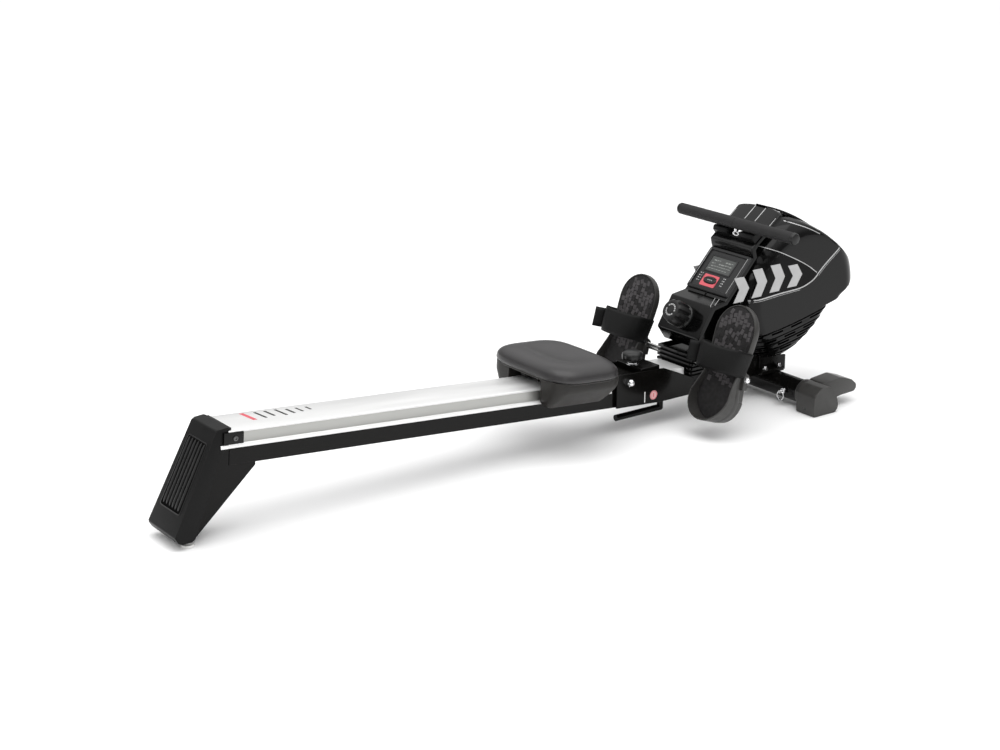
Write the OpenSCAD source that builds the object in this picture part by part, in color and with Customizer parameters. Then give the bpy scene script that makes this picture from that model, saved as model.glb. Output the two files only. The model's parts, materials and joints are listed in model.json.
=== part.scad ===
// Magnetic rowing machine: inclined sliding-seat rail that folds up on a front frame, with a flywheel
// housing, console, strap-driven handle and pivoting footplates.
// X runs forwards to the flywheel, Y to the rower's left, Z up. The floor is Z = 0.
// Side-view points are [x, z], with x counted from the rear feet; place() then centres the machine on X.

/* [Overall] */
// Foremost point of the housing, from the rear feet
nose_x = 1962; // [1958:1:1966]
// Rearmost point of the rear foot cover, from the rear feet
rear_x = -21; // [-24:1:-18]

/* [Rail] */
// Width of the aluminium rail
rail_w = 114; // [112:1:116]
// Height of the aluminium rail
rail_h = 38; // [36:1:38]
// Wall of the rail and of the beam under it
rail_wall = 2.5; // [2:0.5:3]
// How far the rail drops towards the front, in degrees
rail_pitch = 4.635; // [4.6:0.005:4.7]
// Height of the rail's top above the floor, over the fold pivot
rail_top_z = 147.4; // [147:0.1:148]
// Rear end of the rail, from the rear feet
rail_rear_x = 104; // [102:1:106]
// Width of the steel beam under the rail
beam_w = 86; // [84:1:88]
// Height of the steel beam under the rail
beam_h = 42; // [40:1:42]

/* [Fold] */
// Fold pivot, from the rear feet
pivot_x = 1187; // [1186:1:1188]
// Fold pivot above the floor
pivot_z = 130.7; // [130:0.1:131]
// Radius of the fold pivot bolt
pivot_r = 6; // [5:0.5:6]

/* [Seat] */
// Width of the seat cushion
seat_w = 290; // [280:1:300]
// Length of the seat cushion
seat_l = 204; // [200:1:206]
// Thickness of the seat cushion
seat_h = 40; // [34:1:42]
// Middle of the seat at rest, from the rear feet
seat_x = 1003; // [1001:1:1004]
// Radius of the seat's rollers
roller_r = 10; // [9:0.5:10]

/* [Footplates] */
// Footplate axle, from the rear feet
axle_x = 1394; // [1393:1:1395]
// Footplate axle above the floor
axle_z = 144.5; // [144:0.5:145]
// Middle of each footplate from the machine's middle
foot_y = 181; // [180:1:183]
// Width of a footplate
foot_w = 132; // [128:1:134]
// Lean of the footplates from the floor, in degrees
foot_lean = 70; // [69:1:72]

/* [Handle] */
// Length of the handle bar
handle_l = 420; // [400:1:440]
// Radius of the foam grip
grip_r = 14.5; // [14:0.5:15]
// Handle bar, from the rear feet
handle_x = 1569; // [1568:1:1570]
// Handle bar above the floor
handle_z = 459.6; // [459:0.1:461]
// How far the pull strap rises towards the rower, in degrees
pull_angle = 10; // [9:1:10]

/* [Flywheel] */
// Radius of the flywheel
wheel_r = 105; // [100:1:107]
// Flywheel axle, from the rear feet
wheel_x = 1775; // [1773:1:1777]
// Flywheel axle above the floor
wheel_z = 268; // [267:1:269]

/* [Front stabiliser] */
// Radius of the stabiliser tube
tube_r = 30; // [29:0.5:30]
// Stabiliser tube, from the rear feet
tube_x = 1677; // [1676:1:1678]
// Outer width over the stabiliser's caps
stance_w = 476; // [470:1:490]

/* [Hidden] */
$fn = 48;
origin_x = (nose_x + rear_x) / 2;
half_rail = rail_w / 2;
half_beam = beam_w / 2;
carriage_gap = 5;
clearance = 0.05;
plate_t = 5;
plate_y = 47;
housing_wall = 3;
housing_half = 75;
cap_w = 63;
cap_y = stance_w / 2 - cap_w;
tube_z = tube_r + 8;
lock_x = 1240;
pin_y = -120;
ring_reach = 22;
console_low = [1478, 298];
console_lean = 47.3;
knob_face = [1405.5, 246.5];
knob_lean = 59;
knob_u = -2;
knob_r = 24.5;
knob_h = 48;
rest_low = [1556, 414];
rest_lean = 38;
spool_x = 1600;
spool_z = 250;
spool_r = 38;
pulley_r = 60;
small_pulley_r = 22;
belt_y = 16;
strap_w = 25;
strap_l = 250;
strap_t = 1.2;
strap_pitch = 1.8;
strap_start = [1574, 434];

module place() translate([-origin_x, 0, 0]) children();
module in_rail() place() translate([pivot_x, 0, rail_top_z]) rotate([0, rail_pitch, 0]) children();
module in_console() place() translate([console_low[0], 0, console_low[1]]) rotate([0, -console_lean, 0]) children();
module in_knob_face() place() translate([knob_face[0], 0, knob_face[1]]) rotate([0, -knob_lean, 0]) children();
module in_rest() place() translate([rest_low[0], 0, rest_low[1]]) rotate([0, -rest_lean, 0]) children();
module in_strap() place() translate([strap_start[0], 0, strap_start[1]]) rotate([0, pull_angle, 0]) children();
module in_foot(side) place() translate([axle_x, side * foot_y, axle_z]) rotate([0, -foot_lean, 0]) children();
module at_wheel() place() translate([wheel_x, 0, wheel_z]) children();
module at_spool() place() translate([spool_x, 0, spool_z]) children();

// Distance along the rail of a place that is x from the rear feet
function along(x) = (x - pivot_x) / cos(rail_pitch);

// A side-view outline, extruded across the machine from y0 to y1
module slab(points, y0, y1) translate([0, y1, 0]) rotate([90, 0, 0]) linear_extrude(y1 - y0) polygon(points);
// A round bar across the machine from y0 to y1
module bar_y(r, y0, y1) translate([0, y0, 0]) rotate([-90, 0, 0]) cylinder(r = r, h = y1 - y0);
module ring_y(r_out, r_in, y0, y1) {
    difference() {
        bar_y(r_out, y0, y1);
        bar_y(r_in, y0 - 1, y1 + 1);
    }
}
module block(low, high) translate(low) cube(high - low);
module both_sides() {
    children();
    mirror([0, 1, 0]) children();
}
// A domed nut across the machine, with its flat side at y0
module dome_nut(r, y0, side) {
    translate([0, y0, 0]) rotate([-90 * side, 0, 0]) {
        cylinder(r = r, h = r * 0.7, $fn = 6);
        translate([0, 0, r * 0.7]) intersection() {
            sphere(r = r * 0.85);
            cylinder(r = r, h = r);
        }
    }
}

// ---- rail, folding with its leg ----
module rail_profile() color("silver") in_rail() {
    x0 = along(rail_rear_x);
    x1 = along(1132);
    lip = 4;
    difference() {
        block([x0, -half_rail, -rail_h], [x1, half_rail, 0]);
        block([x0 - 1, -half_rail + 7, -rail_h + rail_wall], [x1 + 1, half_rail - 7, -rail_wall]);
        both_sides() block([x0 - 1, half_rail - lip, -rail_h + 10], [x1 + 1, half_rail + 1, -rail_h + 13]);
    }
}
module rail_beam() color("dimgray") difference() {
    x0 = along(114);
    x1 = along(1216);
    top = -rail_h;
    in_rail() difference() {
        union() {
            block([x0, -half_beam, top - beam_h], [along(1132), half_beam, top]);
            block([along(1132), -half_beam, top - beam_h], [x1, half_beam, -1]);
        }
        block([x0 - 1, -half_beam + 3, top - beam_h + 3], [x1 + 1, half_beam - 3, top - 3]);
    }
    place() translate([pivot_x, 0, pivot_z]) bar_y(pivot_r + clearance, -60, 60);
}
module rear_leg() color("dimgray") place() {
    leg = [[-8, 12], [13, 12], [160, 143.8], [106, 148], [104, 190], [90, 190]];
    channel = [[-20, 0], [1, 16], [146, 145], [100, 149], [100, 200], [88, 200]];
    difference() {
        slab(leg, -40, 40);
        slab(channel, -36, 36);
    }
}
module rear_cover() color("black") place() {
    outline = [[rear_x, 14], [8, 14], [46, 96], [84, 193], [101, 225], [101, 243], [77, 241]];
    groove_h = 150;
    difference() {
        slab(outline, -52.5, 52.5);
        slab([[-17, 13], [12, 13], [52, 96], [92, 192], [104, 222], [104, 238], [79, 236]], -49.5, 49.5);
        // slots between the ribs of the sloping rear face
        for (k = [-2 : 2]) translate([rear_x, 0, 14]) rotate([0, 23.1, 0])
            block([-1, k * 13 - 3, 55], [2, k * 13 + 3, 55 + groove_h]);
    }
}
module rear_feet() color("whitesmoke") place() both_sides() translate([2, 45, 0]) {
    cylinder(r = 14, h = 6);
    translate([0, 0, 6]) cylinder(r = 5, h = 6);
}
module rail_end_plate() color("black") in_rail() {
    x1 = along(138);
    both_sides() difference() {
        block([along(105), half_rail, -rail_h], [x1, half_rail + 3, -2]);
        translate([along(118.4), 0, -18]) bar_y(4, half_rail - 1, half_rail + 4);
    }
    block([along(102.7), -half_rail - 3, -rail_h], [along(103.9), half_rail + 3, -2]);
}
module rail_screws() color("silver") in_rail() both_sides() translate([along(118.4), 0, -18]) {
    bar_y(3.9, half_rail + 0.2, half_rail + 4);
    bar_y(6.5, half_rail + 3, half_rail + 6);
}
module rail_stops() color("black") in_rail() {
    both_sides() translate([along(1124), 36, 0]) cylinder(r = 7, h = 16);
    block([along(rail_rear_x), -50, 0], [along(rail_rear_x + 9), 50, 5]);
}
module fold_bolt() color("silver") place() translate([pivot_x, 0, pivot_z]) {
    bar_y(pivot_r, -plate_y - plate_t - 1, plate_y + plate_t + 1);
    for (side = [-1, 1]) dome_nut(10, side * (plate_y + plate_t + 1), side);
}

// ---- seat ----
module seat_cushion() color("dimgray") in_rail() translate([along(seat_x), 0, 27]) hull() {
    for (x = [-1, 1], y = [-1, 1]) translate([x * (seat_l / 2 - 60), y * (seat_w / 2 - 60), 0]) {
        cylinder(r = 52, h = 4, $fn = 32);
        translate([0, 0, 10]) cylinder(r = 60, h = 10, $fn = 32);
        cylinder(r = 44, h = seat_h, $fn = 32);
    }
}
module seat_carriage() color("dimgray") in_rail() translate([along(seat_x), 0, 0]) {
    half_l = 98;
    difference() {
        union() {
            both_sides() translate([-half_l, 0, 0]) rotate([90, 0, 90]) linear_extrude(2 * half_l)
                polygon([[0, 26.5], [0, 22], [half_rail + carriage_gap, 22], [half_rail + carriage_gap, -40],
                         [88, -40], [104, 18], [104, 26.5]]);
            for (x = [-60, 60]) both_sides() block([x - 12, 20, 9], [x + 12, 24, 23]);
        }
        for (x = [-60, 60]) translate([x, 0, roller_r + 0.3]) bar_y(4, -60, 60);
        // the front lower corners are cut back
        translate([half_l, 0, -40]) rotate([0, 45, 0]) cube([40, 300, 40], center = true);
    }
}
module seat_axles() color("silver") in_rail() translate([along(seat_x), 0, roller_r + 0.3])
    for (x = [-60, 60]) translate([x, 0, 0]) bar_y(3.95, -54, 54);
module roller_pair(x) in_rail() translate([along(seat_x) + x, 0, roller_r + 0.3])
    both_sides() ring_y(roller_r, 4, 30, 46);
module front_rollers() color("black") roller_pair(60);
module rear_rollers() color("black") roller_pair(-60);

// ---- front frame ----
module front_beam() color("dimgray") place() {
    difference() {
        union() {
            block([1290, -36, 60.2], [1700, 36, 100.2]);
            slab([[1405, 100.2], [1500, 100.2], [1500, 165], [1380, 165], [1380, 128]], -30, 30);
        }
        block([1289, -33, 63.2], [1701, 33, 97.2]);
        slab([[1408, 97], [1497, 97], [1497, 162], [1384, 162], [1384, 130]], -27, 27);
        translate([axle_x, 0, axle_z]) bar_y(8, -60, 60);
        translate([1333, 0, 50]) cylinder(r = 8.8, h = 30);
        translate([tube_x, 0, tube_z]) bar_y(tube_r + 0.1, -60, 60);
    }
}
module fold_plate() slab([[1150, 70], [1150, 154], [1300, 144.5], [1397, 101.6], [1397, 60.2], [1290, 60.2]],
    plate_y, plate_y + plate_t);
module fold_plate_bored() difference() {
    fold_plate();
    translate([pivot_x, 0, pivot_z]) bar_y(pivot_r + clearance, 40, 60);
}
module fold_plate_left() color("black") place() fold_plate_bored();
module fold_plate_right() color("black") place() mirror([0, 1, 0]) fold_plate_bored();
module fold_block() color("black") place() difference() {
    union() {
        block([1228, -plate_y, 134], [1288, plate_y, 154]);
        both_sides() block([1290, 36, 60.2], [1396, plate_y, 98]);
    }
    translate([lock_x, 0, 120]) cylinder(r = 6.05, h = 50);
}
module rail_stub() color("silver") place() difference() {
    slab([[1289, 139], [1369, 132], [1369, 100.6], [1289, 100.6]], -46.5, 46.5);
    slab([[1288, 136], [1366, 129], [1366, 100], [1288, 100]], -43.5, 43.5);
}
module lock_knob() color("black") place() translate([lock_x, 0, 0]) {
    translate([0, 0, 137]) cylinder(r = 6, h = 28);
    translate([0, 0, 154.5]) cylinder(r = 13, h = 3);
    translate([0, 0, 163]) cylinder(r = 18, h = 4);
    difference() {
        translate([0, 0, 166]) cylinder(r = 26, h = 22);
        for (a = [0 : 60 : 300]) rotate(a + 30) translate([30, 0, 160]) cylinder(r = 7, h = 40);
    }
}
module l_pin() color("black") place() {
    translate([1333, 0, 24]) cylinder(r = 8, h = 52);
    translate([1333, 0, 24]) sphere(r = 8);
    translate([1190, 0, 24]) rotate([0, 90, 0]) cylinder(r = 8, h = 143);
}
module stabiliser_tube() color("black") place() translate([tube_x, 0, tube_z])
    difference() {
        ring_y(tube_r, tube_r - 2.5, -cap_y - 30, cap_y + 30);
        translate([-20, pin_y, 0]) rotate([0, -90, 0]) cylinder(r = 4 + clearance, h = 20);
    }
module stabiliser_saddle() color("black") place() difference() {
    union() {
        both_sides() slab([[1630, 60.5], [1722, 60.5], [1722, 100], [1630, 112]], 36.2, 41);
        block([1622, -60, 66], [1700, -41.2, 76]);
        block([1622, 41.2, 66], [1700, 60, 76]);
    }
    translate([tube_x, 0, tube_z]) bar_y(tube_r + 0.1, -80, 80);
}
module cap() {
    translate([1758, 0, 40]) bar_y(4, cap_y - 14, cap_y + 32);
    cap_shell();
}
module cap_shell() difference() {
    union() {
        slab([[1633, 0], [1704, 0], [1719, 12], [1708, 42], [1684, 72], [1655, 72], [1633, 54]],
            cap_y, cap_y + cap_w);
        // wheel guard in front of the cap
        slab([[1700, 24], [1806, 28], [1812, 46], [1790, 64], [1750, 76], [1680, 71]], cap_y - 16, cap_y + 34);
    }
    translate([tube_x, 0, tube_z]) bar_y(tube_r + 0.1, cap_y - 20, cap_y + 31);
    slab([[1725, 20], [1790, 20], [1802, 30], [1790, 56], [1745, 67], [1725, 68]], cap_y - 12, cap_y + 30);
}
module cap_left() color("dimgray") place() cap();
module cap_right() color("dimgray") place() mirror([0, 1, 0]) cap();
module wheel(side) color("black") place() mirror([0, side < 0 ? 1 : 0, 0]) translate([1758, 0, 40]) {
    ring_y(20, 4 + clearance, cap_y - 4, cap_y + 22);
}
module wheel_left() wheel(1);
module wheel_right() wheel(-1);
module frame_bolts() color("silver") place() {
    // bolts of the housing bracket over the stabiliser
    for (x = [1640, 1688], side = [-1, 1]) translate([x, side * 52, 0]) {
        translate([0, 0, 76]) cylinder(r = 7, h = 5, $fn = 6);
        translate([0, 0, 81]) cylinder(r = 4, h = 5);
    }
    // domed nuts on the footplate axle
    for (side = [-1, 1]) translate([axle_x, 0, axle_z]) dome_nut(8, side * (foot_y + foot_waist / 2 + 1.5), side);
}
module pull_pin() color("silver") place() translate([tube_x - tube_r + 6, pin_y, tube_z]) rotate([0, -90, 0])
    difference() {
        union() {
            cylinder(r = 4, h = 26);
            translate([0, 0, 10]) cylinder(r = 7, h = 5);
        }
        translate([0, 0, ring_reach]) bar_y(2.2, -6, 6);
    }
module pull_ring() color("silver") place() translate([tube_x - tube_r + 6 - ring_reach, pin_y, tube_z - 10.7])
    rotate([0, 90, 0]) rotate_extrude() translate([11, 0]) circle(r = 1.4);
module footplate_axle() color("silver") place() translate([axle_x, 0, axle_z])
    bar_y(7.95, -foot_y - foot_waist / 2 - 1.5, foot_y + foot_waist / 2 + 1.5);

// ---- housing ----
// Corners of the shells' open front, behind the console
front_low = [1482, 284];
front_top = [1671, 489];
// Room that the pull strap runs through
module strap_mouth() translate([strap_start[0], 0, strap_start[1]]) rotate([0, pull_angle, 0])
    block([-40, -strap_w / 2 - 7, -9], [90, strap_w / 2 + 7, 6]);
// The round side outline that the shells share, drawn in by inset all round
module crown_outline(top, nose) intersection() {
    translate([1467, -151]) circle(r = 670 - top, $fn = 160);
    translate([1745, 262]) circle(r = nose_x - 1745 - nose, $fn = 96);
    polygon([front_low, front_top, [2000, 489], [2000, 262], [1860, 222 + nose / 3], [1600, 222]]);
}
module belly_outline(top, belly) intersection() {
    translate([1467, -151]) circle(r = 670 - top, $fn = 160);
    translate([1651, 376]) circle(r = 286 - belly, $fn = 96);
    polygon([[1438, 120], front_low, front_top, [2000, 489], [2000, 60], [1451, 60]]);
}
module layer(y) translate([0, y, 0]) rotate([90, 0, 0]) linear_extrude(0.5) children();
// Layers of the shell: how far from the middle, and the insets of its top, nose and belly there
layers = [[0.5, 0, 0, 0], [45, 3, 14, 5], [65, 7, 32, 14], [housing_half, 14, 56, 30]];
function layer_y(l, t) = l[0] < 1 && t > 0 ? -1 : max(l[0] - t, 0.5);
module housing_solid(t) {
    hull() for (l = layers) layer(layer_y(l, t)) crown_outline(l[1] + t, l[2] + t);
    hull() for (l = layers) layer(layer_y(l, t)) belly_outline(l[1] + t, l[3] + t);
}
module housing_shell() difference() {
    housing_solid(0);
    housing_solid(housing_wall);
    // room for the frame, the post and the lower shroud
    block([1400, -1, 60], [1740, 48, 104]);
    block([1400, -1, 60], [1640, 48, 145]);
    block([1400, -1, 60], [1504, 68, 176]);
    strap_mouth();
}
module housing_left() color("black") place() housing_shell();
module housing_right() color("black") place() mirror([0, 1, 0]) housing_shell();
module lower_shroud() color("black") place() difference() {
    union() {
        slab([[1378, 116], [1500, 116], [1500, 166], [1410, 172], [1378, 140]], -62, 62);
        // stacked ribs around the shroud
        for (k = [0 : 3]) block([1371, -66, 118 + k * 12], [1500, 66, 124 + k * 12]);
    }
    block([1378.5, -57, 90], [1510, 57, 180]);
    translate([axle_x, 0, axle_z]) bar_y(8.5, -80, 80);
}
module post_plates() color("dimgray") place() difference() {
    both_sides() slab([[1502, 100.4], [1640, 100.4], [1800, 245], [1800, 290], [1760, 300], [1590, 300],
        [1502, 200]], 32, 36);
    translate([wheel_x, 0, wheel_z]) bar_y(8 + clearance, -60, 60);
    translate([spool_x, 0, spool_z]) bar_y(8 + clearance, -60, 60);
}

// ---- console ----
console_outline = [[1407, 173], [1383, 209], [1428, 284], [1472, 290], [1484.6, 294.6], [1564.7, 381.3], [1555, 398],
    [1553, 412], [1648, 486], [1662, 481], [1480.7, 284.6], [1424, 176]];
module console_case() color("black") place() {
    difference() {
        slab(console_outline, -housing_half, housing_half);
        translate([5, 0, -3]) slab(console_outline, -housing_half + 4, housing_half - 4);
        translate([knob_face[0], 0, knob_face[1]]) rotate([0, -knob_lean, 0]) translate([knob_u, 0, -20])
            cylinder(r = 6 + clearance, h = 60);
        strap_mouth();
    }
}
// Oval button beside the display, grown all round by grow
button_u = 30;
button_y = 10;
button_r = 9;
button_reach = 12;
module button_oval(grow, low, high) translate([button_u, button_y, low]) linear_extrude(high - low) {
    for (side = [-1, 1]) translate([0, side * button_reach]) circle(r = button_r + grow);
    square([2 * (button_r + grow), 2 * button_reach], center = true);
}
module monitor_case() color("dimgray") in_console() difference() {
    block([2, -72, -7], [119, 72, 2]);
    block([10, -50, -0.5], [112, 50, 3]);
    button_oval(0.3, -20, 10);
}
module monitor_screen() color("gray") in_console() difference() {
    block([10.5, -49.5, -0.5], [111.5, 49.5, 1]);
    button_oval(0.3, -2, 6);
}
module monitor_button() color("red") in_console() button_oval(0, -2.6, 3.5);
// Knob with finger grooves round it, on a spindle
module tension_knob() color("black") in_knob_face() translate([knob_u, 0, 0]) {
    translate([0, 0, -14]) cylinder(r = 6, h = 15);
    translate([0, 0, 0.6]) cylinder(r = knob_r + 2.5, h = 8);
    difference() {
        translate([0, 0, 8]) cylinder(r = knob_r, h = knob_h - 8);
        for (a = [0 : 24 : 336]) rotate(a) translate([knob_r + 1, 0, 9]) cylinder(r = 2, h = knob_h);
    }
}
module handle_rest() color("black") in_rest() both_sides() difference() {
    block([12, 20, 0.3], [62, 74, 22]);
    translate([38.3, 0, 27.9]) bar_y(grip_r + 0.6, 10, 80);
}

// ---- handle and pull strap ----
module handle_bar() color("silver") place() translate([handle_x, 0, handle_z]) {
    bar_y(11, -handle_l / 2 + 4, handle_l / 2 - 4);
}
module handle_grip() color("dimgray") place() translate([handle_x, 0, handle_z]) difference() {
    both_sides() bar_y(grip_r, 0, handle_l / 2);
    bar_y(11, -handle_l / 2 + 4, handle_l / 2 - 4);
}
module handle_eye() color("silver") place() translate([handle_x, 0, handle_z]) difference() {
    union() {
        translate([0, 0, -24]) cylinder(r = 5, h = 9.4);
        translate([-4, -16, -31]) cube([9, 32, 8]);
    }
    translate([0, 0, 0]) bar_y(grip_r, -20, 20);
}
// Sections of the strap that slide out one after another, as the strap unwinds
module strap_section(k) in_strap() translate([0, 0, -k * strap_pitch])
    block([k * 2, -strap_w / 2, 0], [strap_l - k * 6, strap_w / 2, strap_t]);
module strap_1() color("black") strap_section(0);
module strap_2() color("black") strap_section(1);
module strap_3() color("black") strap_section(2);
module strap_4() color("black") strap_section(3);

// ---- drive inside the housing ----
module flywheel() color("silver") at_wheel() {
    difference() {
        union() {
            ring_y(wheel_r, wheel_r - 22, -11, 11);
            ring_y(wheel_r - 21, 28, -4, 4);
            bar_y(30, -14, 14);
            bar_y(small_pulley_r, 13, 27);
        }
        bar_y(17, -30, 30);
    }
}
module flywheel_bearings() color("silver") at_wheel() for (y = [-13, 17]) ring_y(17, 8 + clearance, y, y + 9);
module flywheel_axle() color("silver") at_wheel() {
    bar_y(8, -38, 38);
    for (side = [-1, 1]) dome_nut(12, side * 38, side);
}
module strap_spool() color("black") at_spool() {
    bar_y(spool_r - 8, -14, 14);
    for (y = [-16, 14]) bar_y(spool_r, y, y + 2);
    bar_y(pulley_r, belt_y, belt_y + 10);
    bar_y(7.95, -38, 38);
}
module belt_outline(grow) hull() {
    translate([wheel_x, wheel_z]) circle(r = small_pulley_r + grow);
    translate([spool_x, spool_z]) circle(r = pulley_r + grow);
}
module drive_belt() color("black") place() translate([0, belt_y + 9, 0]) rotate([90, 0, 0]) linear_extrude(8)
    difference() {
        belt_outline(2.5);
        belt_outline(0.4);
    }
module magnet_bracket() color("silver") place() difference() {
    rim_z = wheel_z - wheel_r;
    block([wheel_x - 22, -21, rim_z - 22], [wheel_x + 22, 21, rim_z + 14]);
    block([wheel_x - 23, -15, rim_z - 18], [wheel_x + 23, 15, rim_z + 15]);
}

// ---- footplates, each around its axle: x runs up the plate, z out of the sole towards the rower ----
foot_low = -124;
foot_high = 169;
foot_waist = 110;
waist_in = (foot_w - foot_waist) / 2;
sole_z = 24;
sole_pocket = 2;
strap_bulge = 52;
cup_wall = 4.5;
cup_rim = 62;
// A long plate with round ends and a waist at the axle, smaller than the whole by inset all round
module foot_outline(inset) {
    r = foot_w / 2 - inset;
    low = foot_low + foot_w / 2;
    high = foot_high - foot_w / 2;
    translate([low, 0]) circle(r = r);
    translate([high, 0]) circle(r = r);
    polygon([[low, -r], [0, waist_in - r], [high, -r], [high, r], [0, r - waist_in], [low, r]]);
}
// The same outline, up to x from the axle
module heel_outline(inset, x) intersection() {
    foot_outline(inset);
    translate([-200, -100]) square([200 + x, 200]);
}
// Wall of the heel cup, rising towards the heel
module heel_wall() intersection() {
    translate([0, 0, sole_z - 2]) linear_extrude(cup_rim) difference() {
        heel_outline(0, 0);
        foot_outline(cup_wall);
    }
    rotate([90, 0, 0]) linear_extrude(foot_w + 2, center = true)
        polygon([[foot_low - 1, 0], [-4, 0], [-4, sole_z + 1], [-60, 46], [foot_low - 1, cup_rim]]);
}
module footplate(side) in_foot(side) difference() {
    union() {
        translate([0, 0, sole_z - 16]) linear_extrude(16) foot_outline(0);
        translate([0, 0, -8]) linear_extrude(17) heel_outline(2, 30);
        bar_y(15, -foot_waist / 2, foot_waist / 2);
        heel_wall();
    }
    bar_y(8, -80, 80);
    translate([0, 0, sole_z - sole_pocket]) linear_extrude(9) foot_outline(6);
    translate([0, 0, -9]) linear_extrude(13) heel_outline(7, -20);
}
module footplate_left() color("black") footplate(1);
module footplate_right() color("black") footplate(-1);
module sole_pad(side) in_foot(side) translate([0, 0, sole_z - sole_pocket]) linear_extrude(4)
    foot_outline(6.5);
module sole_pad_left() color("dimgray") sole_pad(1);
module sole_pad_right() color("dimgray") sole_pad(-1);
// Half an oval over the foot, standing on two straight sides
function arch(half, rise) = concat([[sole_z - 14, -half]], [for (a = [0 : 10 : 180])
    [sole_z + 3 + rise * sin(a), -half * cos(a)]], [[sole_z - 14, half]]);
module foot_strap(side) in_foot(side) translate([2, 0, 0]) rotate([0, -90, 0]) mirror([0, 0, 1]) linear_extrude(62)
    difference() {
        polygon(arch(foot_w / 2 + 3, strap_bulge + 3));
        translate([-0.1, 0]) polygon(arch(foot_w / 2 + 0.1, strap_bulge));
    }
module foot_strap_left() color("black") foot_strap(1);
module foot_strap_right() color("black") foot_strap(-1);

rail_profile();
rail_beam();
rear_leg();
rear_cover();
rear_feet();
rail_end_plate();
rail_screws();
rail_stops();
fold_bolt();
seat_cushion();
seat_carriage();
seat_axles();
front_rollers();
rear_rollers();
front_beam();
fold_plate_left();
fold_plate_right();
fold_block();
rail_stub();
lock_knob();
l_pin();
stabiliser_tube();
stabiliser_saddle();
cap_left();
cap_right();
wheel_left();
wheel_right();
frame_bolts();
pull_pin();
pull_ring();
lower_shroud();
post_plates();
housing_left();
housing_right();
console_case();
monitor_case();
monitor_screen();
monitor_button();
tension_knob();
handle_rest();
handle_bar();
handle_grip();
handle_eye();
strap_1();
strap_2();
strap_3();
strap_4();
flywheel();
flywheel_bearings();
flywheel_axle();
strap_spool();
drive_belt();
magnet_bracket();
footplate_axle();
footplate_left();
footplate_right();
foot_strap_left();
foot_strap_right();
sole_pad_left();
sole_pad_right();
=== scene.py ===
"""Looks of the folding rowing machine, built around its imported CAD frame."""
import json
from math import copysign, cos, exp, hypot, pi, radians, sin, sqrt, tan, tau
import random

import bmesh
import bpy
from mathutils import Matrix, Vector


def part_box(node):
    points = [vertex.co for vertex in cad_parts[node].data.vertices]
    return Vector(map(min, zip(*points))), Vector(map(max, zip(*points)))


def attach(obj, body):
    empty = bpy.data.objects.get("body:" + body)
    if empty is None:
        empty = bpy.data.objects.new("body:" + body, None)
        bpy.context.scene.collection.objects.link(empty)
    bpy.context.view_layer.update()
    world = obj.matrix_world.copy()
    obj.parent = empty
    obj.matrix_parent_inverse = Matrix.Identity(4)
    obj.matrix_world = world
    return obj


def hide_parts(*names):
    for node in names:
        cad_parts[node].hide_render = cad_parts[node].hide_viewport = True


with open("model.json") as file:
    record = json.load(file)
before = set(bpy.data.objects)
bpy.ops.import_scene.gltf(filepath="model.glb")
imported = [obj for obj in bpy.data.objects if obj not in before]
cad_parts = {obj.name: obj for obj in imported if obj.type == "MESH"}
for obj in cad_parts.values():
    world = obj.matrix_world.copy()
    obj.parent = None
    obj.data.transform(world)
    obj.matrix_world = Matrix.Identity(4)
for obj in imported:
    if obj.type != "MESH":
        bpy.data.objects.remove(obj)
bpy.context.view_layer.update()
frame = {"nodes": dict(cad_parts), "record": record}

NODES = frame["nodes"]
SLOT_OF = {p["node"]: p["material_slot"] for p in frame["record"]["subparts"]}
MM = 0.001
HALF = 75  # half the housing's width, mm
RAIL_SLOPE = 4.635  # fall of the rail towards the front, degrees
SEAT_X = 1003  # middle of the seat at rest
FOOT_LEAN = 70  # lean of the footplates from the floor, degrees
FOOT_Y = 181  # middle of a footplate from the machine's middle
PLATE_HALF, PLATE_LOW, PLATE_TOP = 66, -124, 169  # a footplate's half width, and its ends from the axle


def centre(node):
    low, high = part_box(node)
    return (Vector(low) + Vector(high)) / 2


# Every place along the machine is counted from the rear feet, in millimetres, as in the CAD model
REAR_X = centre("rear_feet").x - 0.002


def spot(x, z, lean=0.0, y=0.0):
    """Frame at a place whose first axis leans up by lean degrees and whose third axis stands out of the slope"""
    move = Matrix.Translation((REAR_X + x * MM, y * MM, z * MM))
    return move @ Matrix.Rotation(radians(-lean), 4, "Y") @ Matrix.Scale(MM, 4)


WORLD = spot(0, 0)
RAIL = spot(1187, 147.4, -RAIL_SLOPE)
CONSOLE = spot(1478, 298, 47.3)
KNOB_FACE = spot(1405.5, 246.5, 59)
REST = spot(1556, 414, 38)
REAR_FACE = spot(-34, 31, 62.14)
FOOT = {side: spot(1394, 144.5, FOOT_LEAN, side * FOOT_Y) for side in (1, -1)}
TO_Y = Matrix.Rotation(radians(-90), 4, "X")
NAMES = {1: "left", -1: "right"}


def along(x):
    return (x - 1187) / cos(radians(RAIL_SLOPE))


# ---- materials ----
def put(node, **values):
    """Sets inputs of a shader node, their names written with _ for a space"""
    for name, value in values.items():
        node.inputs[name.replace("_", " ")].default_value = value
    return node


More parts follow.
